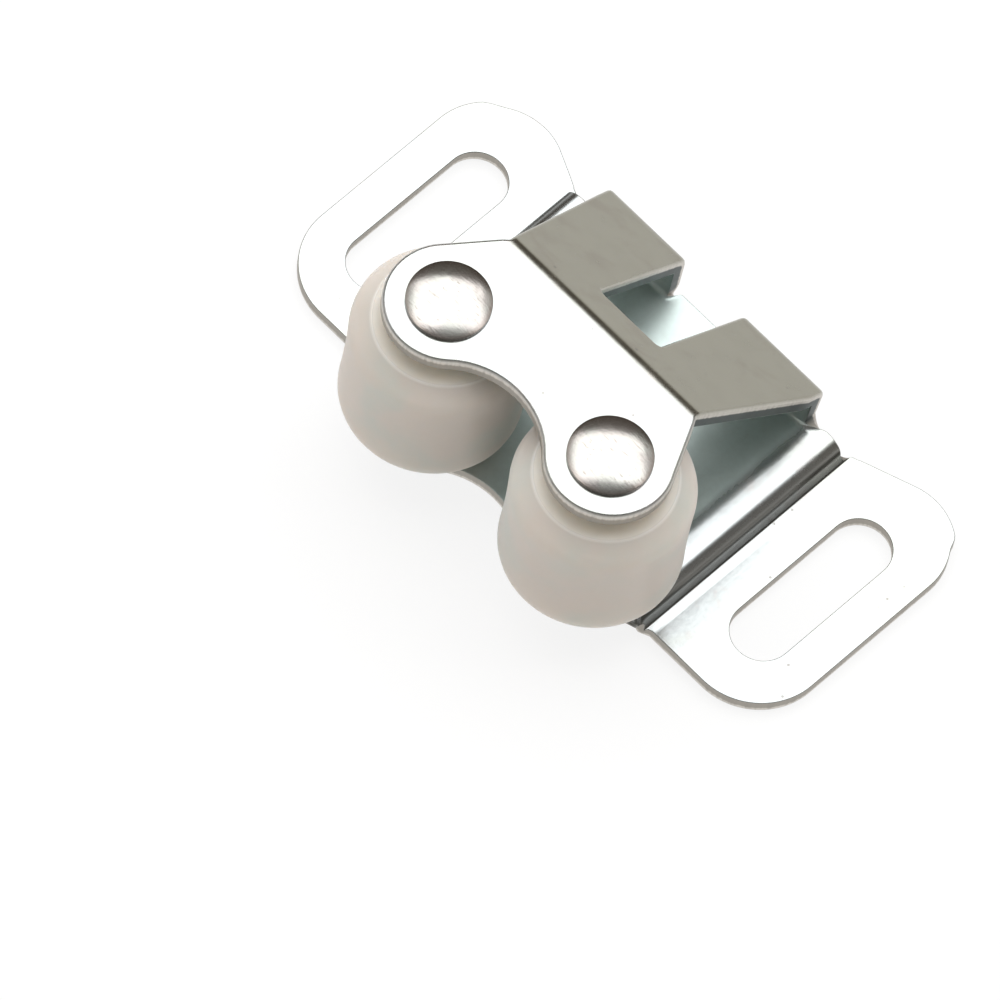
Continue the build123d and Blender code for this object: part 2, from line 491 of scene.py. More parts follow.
def planBends(d):
    # the strip goes round the foot, the fold and the crease; each wing goes down its joggle
    creaseY, plateTop = d["creasePlace"]
    foldTop = d["underside"] + d["foldRise"]
    webTurn = math.degrees(math.atan2(plateTop - foldTop, creaseY - d["wallFace"])) - 90.0
    creaseTurn = 90.0 - webTurn
    foldTangent = d["foldOuter"] * math.tan(math.radians(webTurn / 2))
    creaseTangent = d["creaseOuter"] * math.tan(math.radians(creaseTurn / 2))
    webRun = math.hypot(creaseY - d["wallFace"], plateTop - foldTop) - foldTangent - creaseTangent
    strip = planPath(
        (0.0, d["underside"]),
        [
            (d["wallFace"] - d["foldOuter"], 0, 0),
            (0, d["foldOuter"], 90.0),
            (d["foldRise"] - d["foldOuter"] - foldTangent, 0, 0),
            (0, d["foldOuter"], webTurn),
            (webRun, 0, 0),
            (0, d["creaseOuter"], creaseTurn),
            (20.0, 0, 0),
        ],
    )

    # a wing leans a little before its shoulder, drops, and eases into the flat ear
    lean, toe = math.radians(d["leanTurn"]), math.radians(d["toeTurn"])
    tight, wide = d["joggleTight"], d["joggleWide"]
    leanEnd = d["leanFrom"] + d["leanRadius"] * math.sin(lean)
    riserUnder = d["riserPlace"] - d["thickness"]
    leanRun = (riserUnder - tight * (1.0 - math.sin(lean)) - leanEnd) / math.cos(lean)
    drop = d["underside"] - d["leanRadius"] * (1.0 - math.cos(lean)) - leanRun * math.sin(lean)
    drop -= tight * math.cos(lean) + wide * math.cos(toe)
    drop -= d["toeRun"] * math.sin(toe) + d["toeRadius"] * (1.0 - math.cos(toe))
    wing = planPath(
        (0.0, d["underside"]),
        [
            (d["leanFrom"], 0, 0),
            (0, d["leanRadius"], -d["leanTurn"]),
            (leanRun, 0, 0),
            (0, tight, d["leanTurn"] - 90.0),
            (drop, 0, 0),
            (0, wide, 90.0 - d["toeTurn"]),
            (d["toeRun"], 0, 0),
            (0, d["toeRadius"], d["toeTurn"]),
            (20.0, 0, 0),
        ],
    )
    return strip, wing


def shiftAt(d, strip, t):
    starts = smooth(t, strip[2][0], strip[2][0] + 1.2)
    return d["webShift"] * starts * (1.0 - smooth(t, strip[6][0] - 0.5, strip[6][0] + 0.5))


def arc(centre, radius, first, last, step=6.0):
    # points round an arc, angles in degrees, either way round
    count = max(2, math.ceil(abs(last - first) / step))
    angles = [math.radians(first + (last - first) * k / count) for k in range(count + 1)]
    return [(centre[0] + radius * math.cos(a), centre[1] + radius * math.sin(a)) for a in angles]


def roundCorner(before, corner, after, radius, step=8.0):
    # replaces a corner by an arc tangent to both its sides
    corner = Vector(corner)
    inward = (Vector(before) - corner).normalized()
    outward = (Vector(after) - corner).normalized()
    half = inward.angle(outward) / 2
    middle = corner + (inward + outward).normalized() * radius / math.sin(half)
    start = corner + inward * radius / math.tan(half) - middle
    end = corner + outward * radius / math.tan(half) - middle
    first = math.degrees(math.atan2(start.y, start.x))
    sweep = (math.degrees(math.atan2(end.y, end.x)) - first + 180.0) % 360.0 - 180.0
    return arc(middle, radius, first, first + sweep, step)


def drawBlank(d, strip, wing):
    # outline with the metal on its left, then the holes the other way round
    rivetX, rivetY = d["rivetPlace"]
    lobe, scallop = d["lobeRadius"], d["scallopRadius"]
    wingLonger = wing[-1][0] - wing[-1][2].x
    earStart = d["earFrom"] + wingLonger
    plateLonger = strip[6][0] + strip[6][2].x
    apart = lobe + scallop
    scallopY = rivetY - math.sqrt(apart**2 - rivetX**2)
    meet = math.degrees(math.acos(rivetX / apart))
    half = arc((0.0, scallopY), scallop, 90.0, meet)

    # base lobe, its root, and the little step where the ear begins
    stepY, earFront = d["frontStep"]
    rootX = rivetX + math.sqrt((lobe + d["lobeRoot"]) ** 2 - (stepY - d["lobeRoot"] - rivetY) ** 2)
    rootAngle = math.degrees(math.atan2(stepY - d["lobeRoot"] - rivetY, rootX - rivetX))
    half += arc((rivetX, rivetY), lobe, 180.0 + meet, 360.0 + rootAngle)[1:]
    half += arc((rootX, stepY - d["lobeRoot"]), d["lobeRoot"], 180.0 + rootAngle, 90.0)[1:]
    half += [(earStart - d["stepRun"], stepY), (earStart, earFront)]

    # ear
    frontCorner = d["earFrontCorner"]
    frontX = d["earEnd"] - frontCorner + wingLonger
    half += arc((frontX, earFront + frontCorner), frontCorner, -90.0, 0.0, 4.0)
    cornerX = d["earEnd"] - d["earCorner"] + wingLonger
    backCorner = arc((cornerX, d["earBack"]), d["earCorner"], 0.0, 90.0 + d["earSlant"], 4.0)
    half += backCorner
    slantRun = backCorner[-1][0] - earStart
    slantEnd = (earStart, backCorner[-1][1] - slantRun * math.tan(math.radians(d["earSlant"])))
    half += [slantEnd]

    # riser's back edge, the root of the wall, wall and web
    riserSlope = (slantEnd[1] - d["riserBack"]) / (slantEnd[0] - d["rootFade"])
    wallFoot = (d["foldHalf"], d["riserBack"] - (d["rootFade"] - d["foldHalf"]) * riserSlope)
    webCos = math.cos(strip[4][3])
    narrows = strip[4][0] + (d["webNarrowsFrom"] - strip[4][2].x) / webCos
    creaseMiddle = strip[5][0] + strip[5][1] / 2
    half += roundCorner(slantEnd, wallFoot, (d["foldHalf"], narrows), d["wallRoot"])
    half += [(d["foldHalf"], narrows)]

    # top plate: waist at the crease, then tangent to its lobe
    topLobe = Vector((rivetX, plateLonger - rivetY))
    waist = Vector((d["creaseHalf"], creaseMiddle))
    reach = waist - topLobe
    tangent = math.degrees(math.atan2(reach.y, reach.x) + math.acos(lobe / reach.length))
    lobeSide = arc(topLobe, lobe, tangent, 180.0 - meet)
    half += roundCorner((d["foldHalf"], narrows), waist, lobeSide[0], d["waistCorner"])
    half += lobeSide
    half += arc((0.0, plateLonger - scallopY), scallop, -meet, -90.0)[1:]

    outline = half + [(-s, t) for s, t in reversed(half[1:-1])]

    # slots, window and rivet holes
    holes = []
    slotWide, slotLong = d["slotSize"]
    slotArm = (slotLong - slotWide) / 2
    for side in (-1, 1):
        slotX = side * (d["slotPlace"] + wingLonger)
        slot = arc((slotX, -slotArm), slotWide / 2, 0.0, -180.0, 5.0)
        slot += arc((slotX, slotArm), slotWide / 2, 180.0, 0.0, 5.0)
        holes.append(slot)
        for rivetT in (rivetY, plateLonger - rivetY):
            ring = arc((side * rivetX, rivetT), d["rivetHole"], 0.0, -360.0, 9.0)
            holes.append(ring[:-1])
    windowHalf, windowFrom = d["windowHalf"], d["windowFrom"]
    windowTop = strip[5][0] + d["creaseOuter"] * math.tan(abs(strip[5][5]) / 2)
    windowTop += d["windowBehindCrease"] / webCos
    corners = [
        (-windowHalf, windowFrom),
        (-windowHalf, windowTop),
        (windowHalf, windowTop),
        (windowHalf, windowFrom),
    ]
    window = []
    for k, corner in enumerate(corners):
        radius = d["windowCorner"] if k in (1, 2) else d["windowFrontCorner"]
        window += roundCorner(corners[k - 1], corner, corners[(k + 1) % 4], radius, 12.0)
    holes.append(window)

    # wall, straps and window sit a little to one side of the rest
    return [[(s + shiftAt(d, strip, t), t) for s, t in loop] for loop in [outline] + holes]


def splitRuns(points, strip):
    # closer points near the foot of the wall, where the bend fades out
    footFrom, footTo = strip[1][0], strip[2][0]
    done = []
    for k, first in enumerate(points):
        second = points[(k + 1) % len(points)]
        first, second = Vector(first), Vector(second)
        middle = (first + second) / 2
        if (second - first).length < 1e-6:
            continue
        nearFoot = footFrom - 1.0 < middle.y < footTo + 1.5 and abs(middle.x) < 13.5
        limit = 0.15 if nearFoot else 1.3
        count = max(1, math.ceil((second - first).length / limit))
        done += [first.lerp(second, j / count) for j in range(count)]
    return done


def insetLoop(points, amount):
    # each point moves in from the edge and keeps the way out
    count = len(points)
    loop = []
    for k, point in enumerate(points):
        before = (point - points[k - 1]).normalized()
        after = (points[(k + 1) % count] - point).normalized()
        first = Vector((before.y, -before.x))
        second = Vector((after.y, -after.x))
        out = (first + second) / (1.0 + first.dot(second))
        loop.append((point - amount * out, out))
    return loop


def crossLoops(loops, cuts):
    # adds points where a loop crosses a bend's lines, so both meet there
    crossed = []
    for loop in loops:
        done = []
        for k, (place, out) in enumerate(loop):
            nextPlace, nextOut = loop[(k + 1) % len(loop)]
            shares = []
            for axis, value, allowed in cuts:
                first, second = place[axis] - value, nextPlace[axis] - value
                if first * second < 0:
                    share = first / (first - second)
                    if allowed(place.lerp(nextPlace, share)):
                        shares.append((share, axis, value))
            done.append((place, out))
            for share, axis, value in sorted(shares):
                point = place.lerp(nextPlace, share)
                point[axis] = value
                done.append((point, out.lerp(nextOut, share)))
        crossed.append(done)
    return crossed


def insideLoops(points, loops):
    # even-odd test of many points against all the loops
    points = np.array(points, float)
    inside = np.zeros(len(points), bool)
    for loop in loops:
        ends = np.array([tuple(p) for p, out in loop])
        starts = np.roll(ends, 1, axis=0)
        for (x0, y0), (x1, y1) in zip(starts, ends):
            if y0 == y1:
                continue
            spans = (points[:, 1] < y0) != (points[:, 1] < y1)
            meets = (x1 - x0) * (points[:, 1] - y0) / (y1 - y0) + x0
            inside ^= spans & (points[:, 0] < meets)
    return inside


def bendSheet(d):
    strip, wing = planBends(d)
    footFrom, footTo = strip[1][0], strip[2][0]
    wingTo = footTo + 5.0
    thick, edgeRound = d["thickness"], d["edgeRound"]

    def place(s, t, depth):
        # blank point and depth from the outer face, to its place on the catch
        flat = Vector((s, t, d["underside"] + depth))
        lowered = Vector((0.0, 0.0, 0.0))
        if abs(s) >= d["leanFrom"] and t < wingTo:
            side = math.copysign(1.0, s)
            (x, z), left = followPath(wing, abs(s))
            winged = Vector((side * (x + depth * left.x), t, z + depth * left.y))
            if abs(s) >= d["rootFade"] or t <= footFrom:
                return winged
            lowered = winged - flat
        (y, z), left = followPath(strip, t)
        bent = Vector((s, y + depth * left.x, z + depth * left.y))
        if footFrom < t < footTo + 1.0:
            # the foot's bend fades out towards the joggles and on the tongue in the window
            share = 1.0 - smooth(abs(s - shiftAt(d, strip, t)), d["foldHalf"], d["rootFade"])
            share *= smooth(abs(s), d["tongueHalf"], d["windowHalf"])
            return flat.lerp(bent, share) + lowered
        return bent

    def normalAt(s, t, depth):
        step = 0.004
        across = place(s + step, t, depth) - place(s - step, t, depth)
        along = place(s, t + step, depth) - place(s, t - step, depth)
        return across.cross(along).normalized()

    loops = [insetLoop(splitRuns(points, strip), edgeRound) for points in drawBlank(d, strip, wing)]

    # lines along which the sheet bends
    cuts = []
    rows = []
    for k in (1, 3, 5):
        begin, length, _, _, _, turn = strip[k]
        count = math.ceil(math.degrees(abs(turn)) / d["bendStep"])
        for j in range(count + 1):
            value = begin + length * j / count
            if k == 1:
                cuts.append((1, value, lambda p: abs(p.x) <= d["rootFade"]))
                rows.append((value, -d["rootFade"], d["rootFade"]))
            else:
                cuts.append((1, value, lambda p: abs(p.x) < 14.0))
                rows.append((value, -14.0, 14.0))
    columns = []
    for k, count in ((1, 4), (3, 10), (5, 15), (7, 4)):
        begin, length = wing[k][:2]
        for j in range(count + 1):
            for side in (-1, 1):
                value = side * (begin + length * j / count)
                cuts.append((0, value, lambda p: p.y < footTo + 2.6))
                columns.append(value)
    loops = crossLoops(loops, cuts)

    points = [spot for loop in loops for spot, out in loop]
    edges = []
    base = 0
    for loop in loops:
        count = len(loop)
        edges += [(base + k, base + (k + 1) % count) for k in range(count)]
        base += count
    onLoop = len(points)

    def ruleLine(axis, value, low, high, ticks):
        # a line of points along a bend, only where there is metal
        other = 1 - axis
        marks = [
            (points[k][other], k)
            for k in range(onLoop)
            if abs(points[k][axis] - value) < 1e-9 and low - 1e-9 <= points[k][other] <= high + 1e-9
        ]
        for end in (low, high):
            if all(abs(end - mark[0]) > 1e-6 for mark in marks):
                marks.append((end, -1))
        marks.sort()
        for (first, firstIndex), (second, secondIndex) in zip(marks, marks[1:]):
            middle = [0.0, 0.0]
            middle[axis] = value
            middle[other] = (first + second) / 2
            if second - first < 1e-6 or not insideLoops([middle], loops)[0]:
                continue
            row = []
            inner = [tick for tick in ticks if first + 0.05 < tick < second - 0.05]
            for spot, index in [(first, firstIndex), *((t, -1) for t in inner), (second, secondIndex)]:
                if index < 0:
                    point = Vector((0.0, 0.0))
                    point[axis] = value
                    point[other] = spot
                    points.append(point)
                    index = len(points) - 1
                row.append(index)
            edges.extend(zip(row, row[1:]))

    fine = [0.0, 0.8, 1.6, 2.2, 2.3, 2.4, 2.5, 2.6, 2.7, 2.78, 2.85, 3.2]
    fine += [4.0 + 1.3 * k for k in range(6)]
    fine += [10.9 + 0.13 * k for k in range(10)]
    footTicks = sorted(fine + [-tick for tick in fine if tick])
    plainTicks = [1.5 * k for k in range(-9, 10)]
    for value, low, high in rows:
        ticks = footTicks if value <= footTo + 1e-6 else plainTicks
        ruleLine(1, value, low, high, ticks)
    longTicks = [-11.0 + 1.4 * k for k in range(16)]
    for value in columns:
        ruleLine(0, value, -14.0, footTo + 2.5, longTicks)

    outVerts, _, outFaces, origVerts, _, _ = delaunay_2d_cdt(points, edges, [], 0, 1e-7)
    centres = [
        sum((Vector(outVerts[k]) for k in face), Vector((0.0, 0.0))) / len(face)
        for face in outFaces
    ]
    keep = insideLoops([tuple(c) for c in centres], loops)
    faces = [face for face, kept in zip(outFaces, keep) if kept]
    where = {}
    for k, origins in enumerate(origVerts):
        for origin in origins:
            where[origin] = k

    def workedAndShadedAt(s, t):
        # how much a point was bent: the joggle's riser and its bends most of all
        if abs(s) > d["leanFrom"] and t < wingTo:
            riser = smooth(abs(s), wing[3][0] + wing[3][1] * 0.15, wing[3][0] + wing[3][1] * 0.6)
            footEnd = wing[5][0] + wing[5][1]
            return riser * (1.0 - smooth(abs(s), footEnd - wing[5][1] * 0.45, footEnd))
        return 0.0

    def webAt(t):
        # the straps and the wall, up to the crease
        starts = smooth(t, footTo - 1.0, footTo)
        return starts * (1.0 - smooth(t, strip[5][0] + 0.3, strip[6][0]))

    coords = []
    normals = []
    blankPlaces = []
    edgeShares = []

    def addVertex(s, t, depth, normal, edgeShare):
        coords.append(place(s, t, depth) * millimetre)
        normals.append(normal)
        blankPlaces.append((s, t, depth))
        edgeShares.append(edgeShare)
        return len(coords) - 1

    meshFaces = []
    used = sorted({k for face in faces for k in face})
    outer = {k: addVertex(*outVerts[k], 0.0, -normalAt(*outVerts[k], 0.0), 0.0) for k in used}

    # the inner face is the burr side: it reaches nearly to the cut, so its edge is sharper
    burr = d["burrRound"]
    reach = {}
    ways = [out for loop in loops for spot, out in loop]
    for k, out in enumerate(ways):
        reach[where[k]] = (edgeRound - burr) * out
    inner = {}
    for k in used:
        spot = Vector(outVerts[k]) + reach.get(k, Vector((0.0, 0.0)))
        inner[k] = addVertex(*spot, thick, normalAt(*spot, thick), 0.0)
    for face in faces:
        a, b, c = (Vector(outVerts[k]) for k in face)
        if (b - a).cross(c - a) < 0:
            face = list(reversed(face))
        meshFaces.append([inner[k] for k in face])
        meshFaces.append([outer[k] for k in reversed(face)])

    # rounded, sheared edges all round
    ringSteps = [(30.0, -1), (60.0, -1), (90.0, -1), (90.0, 0), (90.0, 1), (60.0, 1), (30.0, 1)]
    edgeShareAt = {30.0: 0.12, 60.0: 0.55, 90.0: 1.0}
    base = 0
    for loop in loops:
        rings = [[outer[where[base + k]] for k in range(len(loop))]]
        for angle, side in ringSteps:
            turn = math.radians(angle)
            softness = burr if side > 0 else edgeRound
            rise = softness * (1.0 - math.cos(turn))
            depth = thick / 2 if side == 0 else (rise if side < 0 else thick - rise)
            ring = []
            for point, out in loop:
                s, t = point + (edgeRound - softness * (1.0 - math.sin(turn))) * out
                face = normalAt(s, t, depth)
                step = 0.004 * out.normalized()
                outward = place(s + step.x, t + step.y, depth) - place(s - step.x, t - step.y, depth)
                outward = (outward - outward.dot(face) * face).normalized()
                normal = (side * math.cos(turn) * face + math.sin(turn) * outward).normalized()
                ring.append(addVertex(s, t, depth, normal, edgeShareAt[angle]))
            rings.append(ring)
        rings.append([inner[where[base + k]] for k in range(len(loop))])
        for low, high in zip(rings, rings[1:]):
            for k in range(len(loop)):
                j = (k + 1) % len(loop)
                meshFaces.append([low[k], low[j], high[j], high[k]])
        base += len(loop)

    mesh = bpy.data.meshes.new("bentSheet")
    mesh.from_pydata(coords, [], meshFaces)
    mesh.validate()
    mesh.polygons.foreach_set("use_smooth", [True] * len(mesh.polygons))
    for name, values in (
        ("shearedEdge", edgeShares),
        ("throughSheet", [depth / thick for s, t, depth in blankPlaces]),
        ("worked", [workedAndShadedAt(s, t) for s, t, depth in blankPlaces]),
        ("webShare", [webAt(t) if abs(s) < d["rootFade"] else 0.0 for s, t, depth in blankPlaces]),
    ):
        mesh.attributes.new(name, "FLOAT", "POINT").data.foreach_set("value", values)
    flatPlaces = [value for b in blankPlaces for value in b]
    mesh.attributes.new("blankPlace", "FLOAT_VECTOR", "POINT").data.foreach_set("vector", flatPlaces)
    mesh.normals_split_custom_set_from_vertices(normals)
    mesh.materials.append(zinc)
    return mesh


def reportMesh(thing):
    check = bmesh.new()
    check.from_mesh(thing.data)
    loose = sum(1 for edge in check.edges if not edge.is_manifold)
    volume = check.calc_volume() * 1e9
    print(f"{thing.name}: {len(check.faces)} faces, open edges {loose}, volume {volume:.1f}")
    check.free()


def addPiece(name, mesh):
    piece = bpy.data.objects.new(name, mesh)
    scene.collection.objects.link(piece)
    reportMesh(piece)
    return piece


catchSheet = addPiece("bentCatchSheet", bendSheet(sheetMetal))
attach(catchSheet, "frame")
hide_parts("catch_frame")
print("Sheet bent")


# Turned pieces: a section worked out from named sizes, spun about the upright axis
def planTurned(name, sizes, drawSection, closed, dents=False):
    tree = bpy.data.node_groups.new(name, "GeometryNodeTree")
    desk = Desk(tree)
    tree.interface.new_socket("Geometry", in_out="OUTPUT", socket_type="NodeSocketGeometry")
    tree.interface.new_socket("Material", in_out="INPUT", socket_type="NodeSocketMaterial")
    for label in sizes:
        kind = "NodeSocketInt" if label in ("Segments", "Round Steps") else "NodeSocketFloat"
        tree.interface.new_socket(label, in_out="INPUT", socket_type=kind)
    given = tree.nodes.new("NodeGroupInput")
    size = {label: Wire(desk, given.outputs[label]) for label in sizes}

    corners = drawSection(size)
    index = desk.node("GeometryNodeInputIndex")
    spots = [desk.node("ShaderNodeCombineXYZ", inputs=[across, 0.0, up]) for across, up, _ in corners]
    cases = {"cases": len(corners)}
    spot = desk.node("GeometryNodeIndexSwitch", {"data_type": "VECTOR", **cases}, [index, *spots])
    radii = [radius for _, _, radius in corners]
    radius = desk.node("GeometryNodeIndexSwitch", {"data_type": "FLOAT", **cases}, [index, *radii])
    points = desk.node("GeometryNodePoints", inputs={"Count": len(corners), "Position": spot})
    section = desk.node("GeometryNodePointsToCurves", inputs={"Points": points})
    section = desk.node("GeometryNodeSetSplineCyclic", inputs={"Geometry": section, "Cyclic": closed})
    section = desk.node(
        "GeometryNodeFilletCurve",
        {"mode": "POLY"},
        {"Curve": section, "Radius": radius, "Count": size["Round Steps"], "Limit Radius": True},
    )
    section = desk.node("GeometryNodeCurveToMesh", inputs={"Curve": section})
    count = desk.node(
        "GeometryNodeAttributeDomainSize",
        {"component": "MESH"},
        {"Geometry": section},
        output="Point Count",
    )
    rowCount = count + (1 if closed else 0)
    columnCount = size["Segments"] + 1
    grid = desk.node(
        "GeometryNodeMeshGrid",
        inputs={"Size X": 1.0, "Size Y": 1.0, "Vertices X": columnCount, "Vertices Y": rowCount},
    )
    around = ((index + 0.5) / rowCount).maths("FLOOR")
    row = index - around * rowCount
    wrapped = row.maths("MODULO", count) + 0.25
    place = desk.node("GeometryNodeInputPosition")
    sampled = desk.node(
        "GeometryNodeSampleIndex",
        {"data_type": "FLOAT_VECTOR", "domain": "POINT"},
        {"Geometry": section, "Value": place, "Index": wrapped},
    )
    across, _, up = desk.split(sampled)
    angle = around / size["Segments"] * (2 * math.pi)
    spun = desk.node(
        "ShaderNodeCombineXYZ", inputs=[across * angle.maths("COSINE"), across * angle.maths("SINE"), up]
    )
    turned = desk.node("GeometryNodeSetPosition", inputs={"Geometry": grid, "Position": spun})
    turned = desk.node("GeometryNodeMergeByDistance", inputs={"Geometry": turned, "Distance": 0.0005})
    if dents:
        # shallow marks left on the head by the riveting
        _, _, height = desk.split(place)
        onHead = desk.between(height, size["Seat Height"] + 0.45, size["Seat Height"] + 0.75)
        seeded = desk.vector("ADD", place, desk.node("ShaderNodeCombineXYZ", inputs=[size["Dent Seed"]]))
        marks = desk.noise(seeded, 0.62, 2.0, 0.5)
        depth = desk.between(marks, 0.5, 0.75) * size["Dent Depth"] * onHead
        offset = desk.node("ShaderNodeCombineXYZ", inputs=[0.0, 0.0, -depth])
        turned = desk.node("GeometryNodeSetPosition", inputs={"Geometry": turned, "Offset": offset})
    move = desk.node("ShaderNodeCombineXYZ", inputs=[size["Place Across"], size["Place Along"], 0.0])
    moved = desk.vector("MULTIPLY", desk.vector("ADD", place, move), (millimetre,) * 3)
    turned = desk.node("GeometryNodeSetPosition", inputs={"Geometry": turned, "Position": moved})
    turned = desk.node("GeometryNodeSetShadeSmooth", inputs={"Geometry": turned, "Shade Smooth": True})
    turned = desk.node("GeometryNodeRealizeInstances", inputs={"Geometry": turned})
    finish = Wire(desk, given.outputs["Material"])
    turned = desk.node("GeometryNodeSetMaterial", inputs={"Geometry": turned, "Material": finish})
    desk.node("NodeGroupOutput", inputs=[turned])
    return tree


def makeTurned(name, tree, sizes, finish):
    blank = bpy.data.meshes.new(name + "Start")
    holder = bpy.data.objects.new(name + "Start", blank)
    scene.collection.objects.link(holder)
    modifier = holder.modifiers.new("turned", "NODES")
    modifier.node_group = tree
    values = {**sizes, "Material": finish}
    for item in tree.interface.items_tree:
        if item.in_out == "INPUT":
            modifier[item.identifier] = values[item.name]
    graph = bpy.context.evaluated_depsgraph_get()
    mesh = bpy.data.meshes.new_from_object(holder.evaluated_get(graph), depsgraph=graph)
    bpy.data.objects.remove(holder)

    # faces outwards, and normals that leave the wide faces flat
    shape = bmesh.new()
    shape.from_mesh(mesh)
    bmesh.ops.recalc_face_normals(shape, faces=shape.faces)
    if shape.calc_volume(signed=True) < 0:
        bmesh.ops.reverse_faces(shape, faces=shape.faces)
    shape.to_mesh(mesh)
    shape.free()
    mesh.name = name
    piece = bpy.data.objects.new(name, mesh)
    scene.collection.objects.link(piece)
    weighted = piece.modifiers.new("weightedNormals", "WEIGHTED_NORMAL")
    weighted.mode = "FACE_AREA"
    weighted.weight = 60
    graph = bpy.context.evaluated_depsgraph_get()
    finished = bpy.data.meshes.new_from_object(piece.evaluated_get(graph), depsgraph=graph)
    piece.modifiers.clear()
    piece.data = finished
    finished.name = name
    reportMesh(piece)
    return piece


# Roller: bevelled rims, a slight waist and a hub at each end
roller = {
    "Flank Radius": 6.6,
    "Waist": 0.12,
    "Low Face": 5.15,
    "Body Height": 12.3,
    "Bevel In": 1.45,
    "Bevel Down": 1.2,
    "Rim Round": 1.8,
    "Hub Radius": 3.7,
    "Low Hub Height": 0.6,
    "Hub Height": 1.2,
    "Edge Round": 0.09,
    "Bore Radius": 2.38,
    "Segments": 128,
    "Round Steps": 5,
    "Place Across": 0.0,
    "Place Along": axlePlace[1],
}


def drawRoller(size):
    low = size["Low Face"]
    high = low + size["Body Height"]
    flank = size["Flank Radius"]
    bevelEdge = flank - size["Bevel In"]
    soft = size["Edge Round"]
    flankLow = low + size["Bevel Down"]
    flankRise = size["Body Height"] - size["Bevel Down"] * 2
    waistSteps = 8
    waisted = []
    for k in range(1, waistSteps):
        share = k / waistSteps
        inward = size["Waist"] * (4 * share * (1 - share))
        waisted.append((flank - inward, flankLow + flankRise * share, 0.0))
    return [
        (size["Bore Radius"], low - size["Low Hub Height"], soft),
        (size["Hub Radius"], low - size["Low Hub Height"], soft),
        (size["Hub Radius"], low, soft),
        (bevelEdge, low, soft),
        (flank, flankLow, size["Rim Round"]),
        *waisted,
        (flank, high - size["Bevel Down"], size["Rim Round"]),
        (bevelEdge, high, soft),
        (size["Hub Radius"], high, soft),
        (size["Hub Radius"], high + size["Hub Height"], soft),
        (size["Bore Radius"], high + size["Hub Height"], soft),
    ]


rollerTree = planTurned("turnedRoller", roller, drawRoller, closed=True)
for side, across in (("left", -axlePlace[0]), ("right", axlePlace[0])):
    piece = makeTurned(f"nylonRoller_{side}", rollerTree, {**roller, "Place Across": across}, nylon)
    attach(piece, f"{side}_roller")
    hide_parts(f"roller_{side}")
print("Rollers turned")


# Rivet: low dome on the plate, shoulder between the plates, flat tail under the base
rivet = {
    "Tail Radius": 2.9,
    "Tail Low": 2.15,
    "Tenon Radius": 1.8,
    "Pin Radius": 2.3,
    "Base Under": 3.25,
    "Base Top": 4.5,
    "Plate Under": 18.95,
    "Seat Height": 20.2,
    "Head Radius": 3.06,
    "Head Edge": 0.26,
    "Head Height": 0.92,
    "Head Round": 0.12,
    "Edge Round": 0.12,
    "Tail Round": 0.3,
    "Dent Depth": 0.03,
    "Dent Seed": 3.0,
    "Segments": 112,
    "Round Steps": 4,
    "Place Across": 0.0,
    "Place Along": axlePlace[1],
}


def drawRivet(size):
    headLow = size["Seat Height"]
    rim = headLow + size["Head Edge"]
    rise = size["Head Height"] - size["Head Edge"]
    domeSteps = 17
    dome = []
    for k in range(1, domeSteps):
        reach = math.cos(math.pi / 2 * k / domeSteps)
        dome.append((size["Head Radius"] * reach, rim + rise * (1 - reach**2), 0.0))
    return [
        (0.0, size["Tail Low"], 0.0),
        (size["Tail Radius"], size["Tail Low"], size["Tail Round"]),
        (size["Tail Radius"], size["Base Under"], size["Edge Round"]),
        (size["Tenon Radius"], size["Base Under"], 0.0),
        (size["Tenon Radius"], size["Base Top"], 0.0),
        (size["Pin Radius"], size["Base Top"], size["Edge Round"]),
        (size["Pin Radius"], size["Plate Under"], size["Edge Round"]),
        (size["Tenon Radius"], size["Plate Under"], 0.0),
        (size["Tenon Radius"], headLow, 0.0),
        (size["Head Radius"], headLow, size["Edge Round"]),
        (size["Head Radius"], rim, size["Head Round"]),
        *dome,
        (0.0, rim + rise, 0.0),
    ]


rivetTree = planTurned("turnedRivet", rivet, drawRivet, closed=False, dents=True)
for side, across, seed in (("left", -axlePlace[0], 3.0), ("right", axlePlace[0], 11.0)):
    sizes = {**rivet, "Place Across": across, "Dent Seed": seed}
    piece = makeTurned(f"domedRivet_{side}", rivetTree, sizes, rivetSteel)
    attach(piece, "frame")
    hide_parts(f"rivet_{side}")
print("Rivets turned")


# Camera at the photograph's angle
photoCamera = {
    "azimuth": 34.739,
    "elevation": 62.861,
    "roll": 12.217,
    "lens": 683.86,
    "distance": 1.32878,
    "aimRight": -0.0000822,
    "aimUp": 0.0006607,
    "aimAlong": -0.0114,
}


def makeCamera(d):
    turn, tilt, roll = (math.radians(d[key]) for key in ("azimuth", "elevation", "roll"))
    right = Vector((math.cos(turn), math.sin(turn), 0.0))
    ahead = Vector(
        (-math.sin(turn) * math.cos(tilt), math.cos(turn) * math.cos(tilt), -math.sin(tilt))
    )
    up = right.cross(ahead)
    rolledRight = math.cos(roll) * right + math.sin(roll) * up
    rolledUp = math.cos(roll) * up - math.sin(roll) * right
    aim = d["aimRight"] * rolledRight + d["aimUp"] * rolledUp + Vector((0.0, d["aimAlong"], 0.0))
    camera = bpy.data.objects.new("photoCamera", bpy.data.cameras.new("photoCamera"))
    scene.collection.objects.link(camera)
    camera.data.lens = d["lens"]
    camera.data.sensor_width = 36.0
    camera.data.clip_start = 0.05
    camera.matrix_world = Matrix.Translation(aim - d["distance"] * ahead) @ Matrix(
        (rolledRight, rolledUp, -ahead)
    ).transposed().to_4x4()
    scene.camera = camera


makeCamera(photoCamera)

